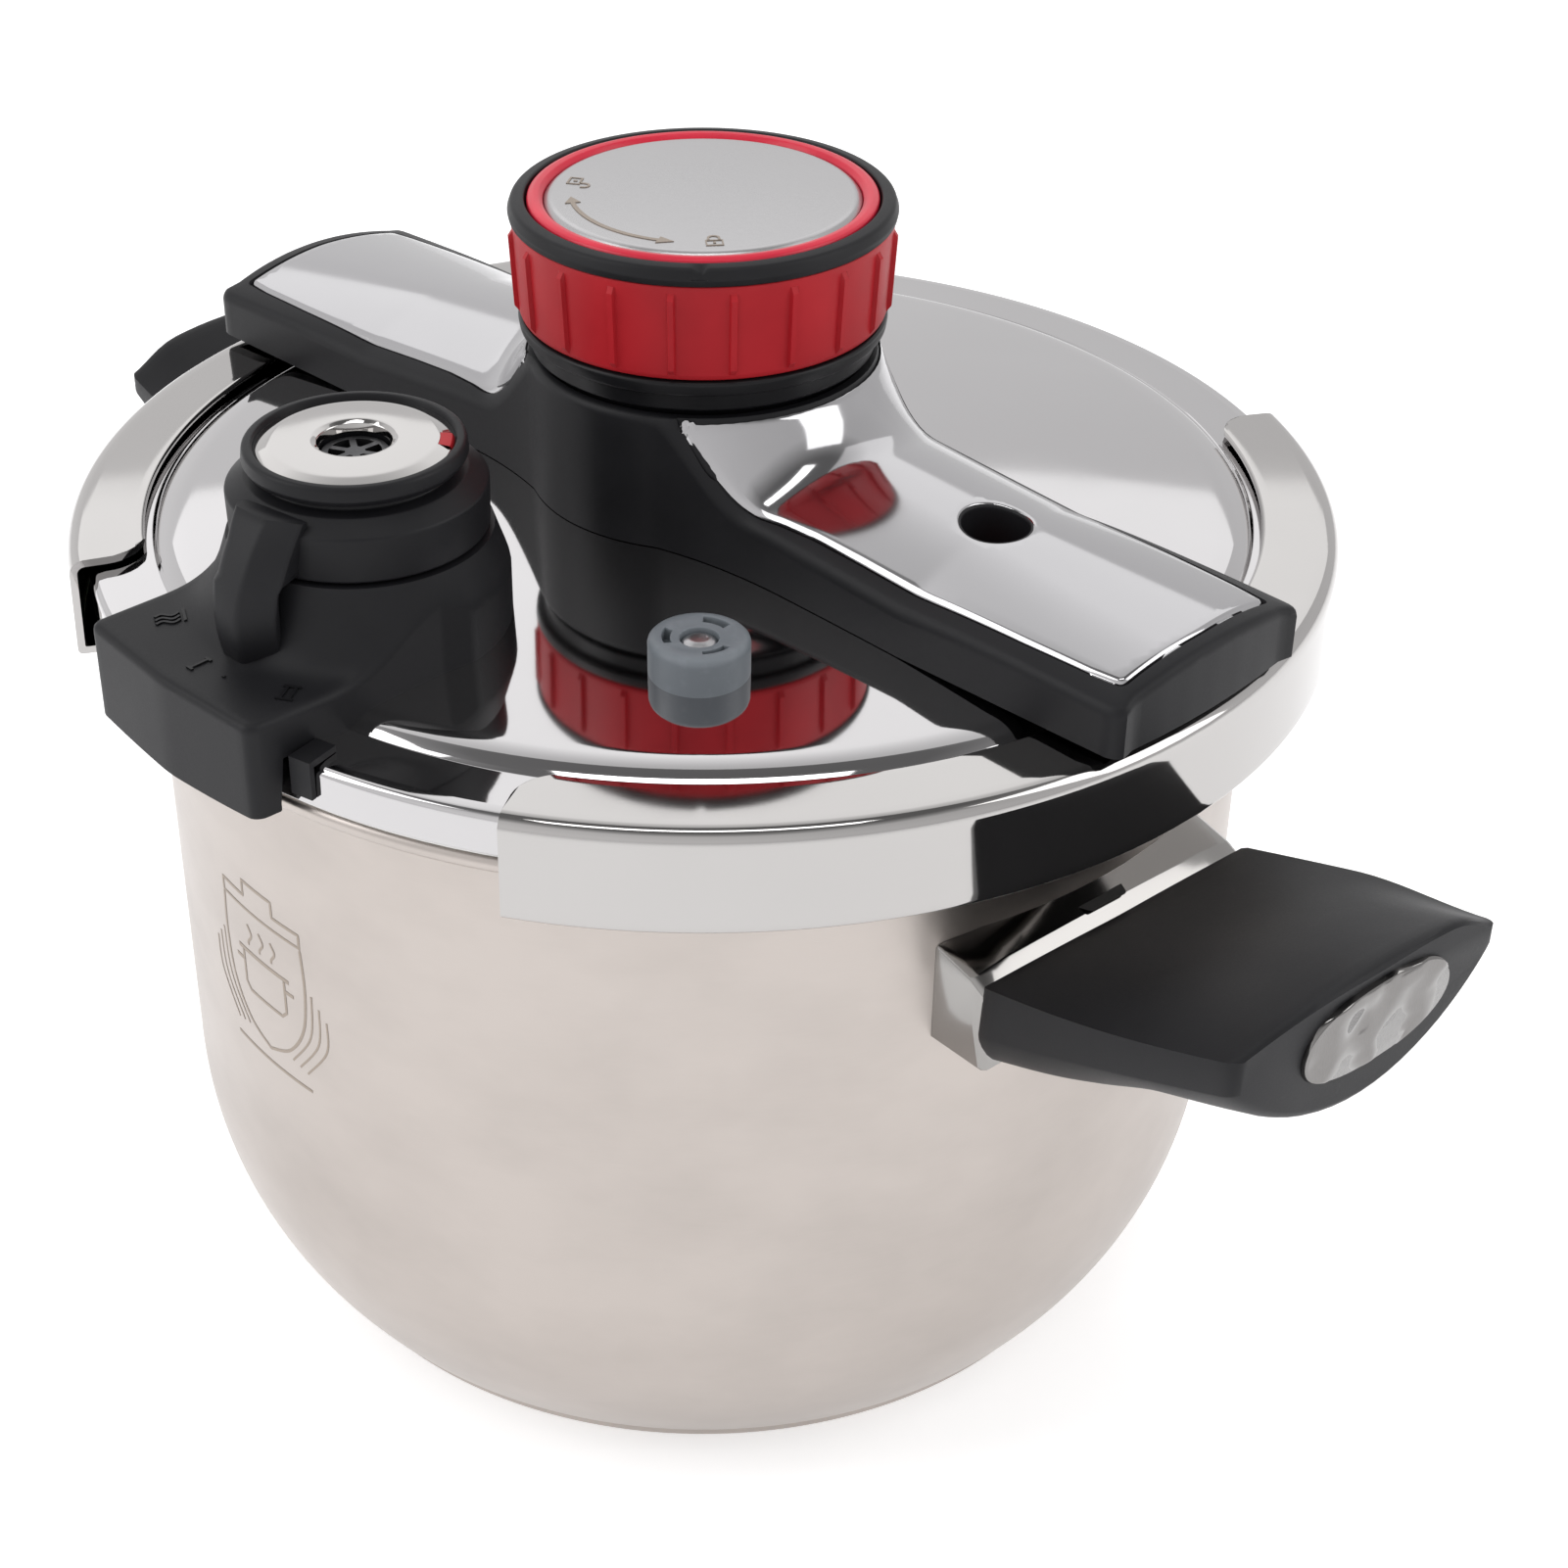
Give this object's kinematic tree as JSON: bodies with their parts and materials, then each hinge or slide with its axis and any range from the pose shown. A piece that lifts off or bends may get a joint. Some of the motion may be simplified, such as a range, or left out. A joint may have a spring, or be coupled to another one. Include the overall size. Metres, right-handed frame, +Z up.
{
  "type": "stovetop pressure cooker",
  "caption": "Round steel pressure cooker with a domed lid, two clamp jaws driven by a red turning knob, a valve dial over the rim and two side grips.",
  "frame": {"origin": "middle of the base cap's underside, on the table", "axes": "+Z up; +X along the closing beam towards the arm with the sight hole; the pressure valve lies towards -Y"},
  "size_m": [0.3544, 0.25, 0.2346],
  "materials": {
    "steel_polished": "mirror polished",
    "steel_satin": "satin brushed",
    "steel_part": "plain machined",
    "steel_spring": "drawn wire",
    "plate_brushed": "brushed one way",
    "aluminium_core": "plain",
    "plastic_black": "fine matt grain",
    "plastic_black_smooth": "smooth semi-gloss",
    "plastic_red": "fine matt grain",
    "plastic_red_bright": "glossy",
    "plastic_ivory": "plain",
    "silicone_grey": "soft matt",
    "silicone_white": "soft matt",
    "silicone_red": "soft matt",
    "rubber_black": "soft matt"
  },
  "bodies": {
    "pot": {"pot_body": "steel_satin", "base_core": "aluminium_core", "base_cap": "steel_satin", "handle_bracket_right": "steel_polished", "handle_bracket_left": "steel_polished", "handle_grip_right": "plastic_black", "handle_grip_left": "plastic_black", "handle_inlay_right": "steel_polished", "handle_inlay_left": "steel_polished", "handle_stud_right": "steel_part", "handle_stud_left": "steel_part", "handle_screw_right": "steel_part", "handle_screw_left": "steel_part"},
    "lid": {"lid": "steel_polished", "gasket": "silicone_white", "beam_bridge": "steel_part", "beam_housing": "plastic_black", "beam_cover_right": "steel_polished", "beam_cover_left": "steel_polished", "beam_screws": "steel_part", "arm_guides": "plastic_ivory", "centre_stud": "steel_part", "centre_seal": "rubber_black", "centre_nut": "steel_part", "knob_screw": "steel_part", "valve_housing": "plastic_black", "rim_clip": "plastic_black", "vent_pipe": "steel_part", "vent_nut": "steel_part", "vent_seal": "rubber_black", "anti_block_cap": "steel_part", "safety_valve_cap": "silicone_grey", "safety_valve_body": "steel_part", "safety_valve_nut": "steel_part", "float_bushing": "steel_part", "float_seal": "silicone_red"},
    "knob": {"knob_core": "plastic_black", "knob_grip": "plastic_red", "knob_rim": "plastic_black_smooth", "knob_trim_ring": "plastic_red_bright", "knob_plate": "plate_brushed", "cam_disc": "steel_part"},
    "jaw_right": {"jaw_right": "steel_polished", "jaw_arm_right": "steel_part", "cam_pin_right": "steel_part", "jaw_rivets_right": "steel_part"},
    "jaw_left": {"jaw_left": "steel_polished", "jaw_arm_left": "steel_part", "cam_pin_left": "steel_part", "jaw_rivets_left": "steel_part"},
    "dial": {"valve_dial": "plastic_black", "valve_cap_ring": "plastic_black_smooth", "valve_cap_plate": "steel_polished", "valve_mark": "plastic_red_bright"},
    "weight": {"valve_weight": "steel_part", "valve_spring": "steel_spring"},
    "float": {"float_pin": "silicone_red"},
    "relief": {"relief_pin": "steel_polished", "relief_spring": "steel_spring"}
  },
  "joints": [
    {"name": "lid_play", "type": "slide", "parent": "pot", "child": "lid", "axis": [0, 0, 1], "range_m": [0, 0.0005]},
    {"name": "knob_turn", "type": "hinge", "parent": "lid", "child": "knob", "pos_m": [0, 0, 0.2], "axis": [0, 0, 1], "range_deg": [-140, 0]},
    {"name": "jaw_right_slide", "type": "slide", "parent": "lid", "child": "jaw_right", "axis": [1, 0, 0], "range_m": [0, 0.016]},
    {"name": "jaw_left_slide", "type": "slide", "parent": "lid", "child": "jaw_left", "axis": [-1, 0, 0], "range_m": [0, 0.016]},
    {"name": "dial_turn", "type": "hinge", "parent": "lid", "child": "dial", "pos_m": [-0.00363, -0.08322, 0.2], "axis": [0, 0, 1], "range_deg": [-38, 21]},
    {"name": "weight_lift", "type": "slide", "parent": "lid", "child": "weight", "axis": [0, 0, 1], "range_m": [0, 0.003], "stiffness_N_per_m": 150, "springref_m": -0.002, "deforming": ["valve_spring"]},
    {"name": "float_lift", "type": "slide", "parent": "lid", "child": "float", "axis": [0, 0, 1], "range_m": [0, 0.006]},
    {"name": "relief_lift", "type": "slide", "parent": "lid", "child": "relief", "axis": [0, 0, 1], "range_m": [0, 0.002], "stiffness_N_per_m": 400, "springref_m": -0.002, "deforming": ["relief_spring"]}
  ],
  "couplings": [
    {"joint": "jaw_right_slide", "follows": "knob_turn", "m_per_rad": -0.006548},
    {"joint": "jaw_left_slide", "follows": "knob_turn", "m_per_rad": -0.006548}
  ]
}
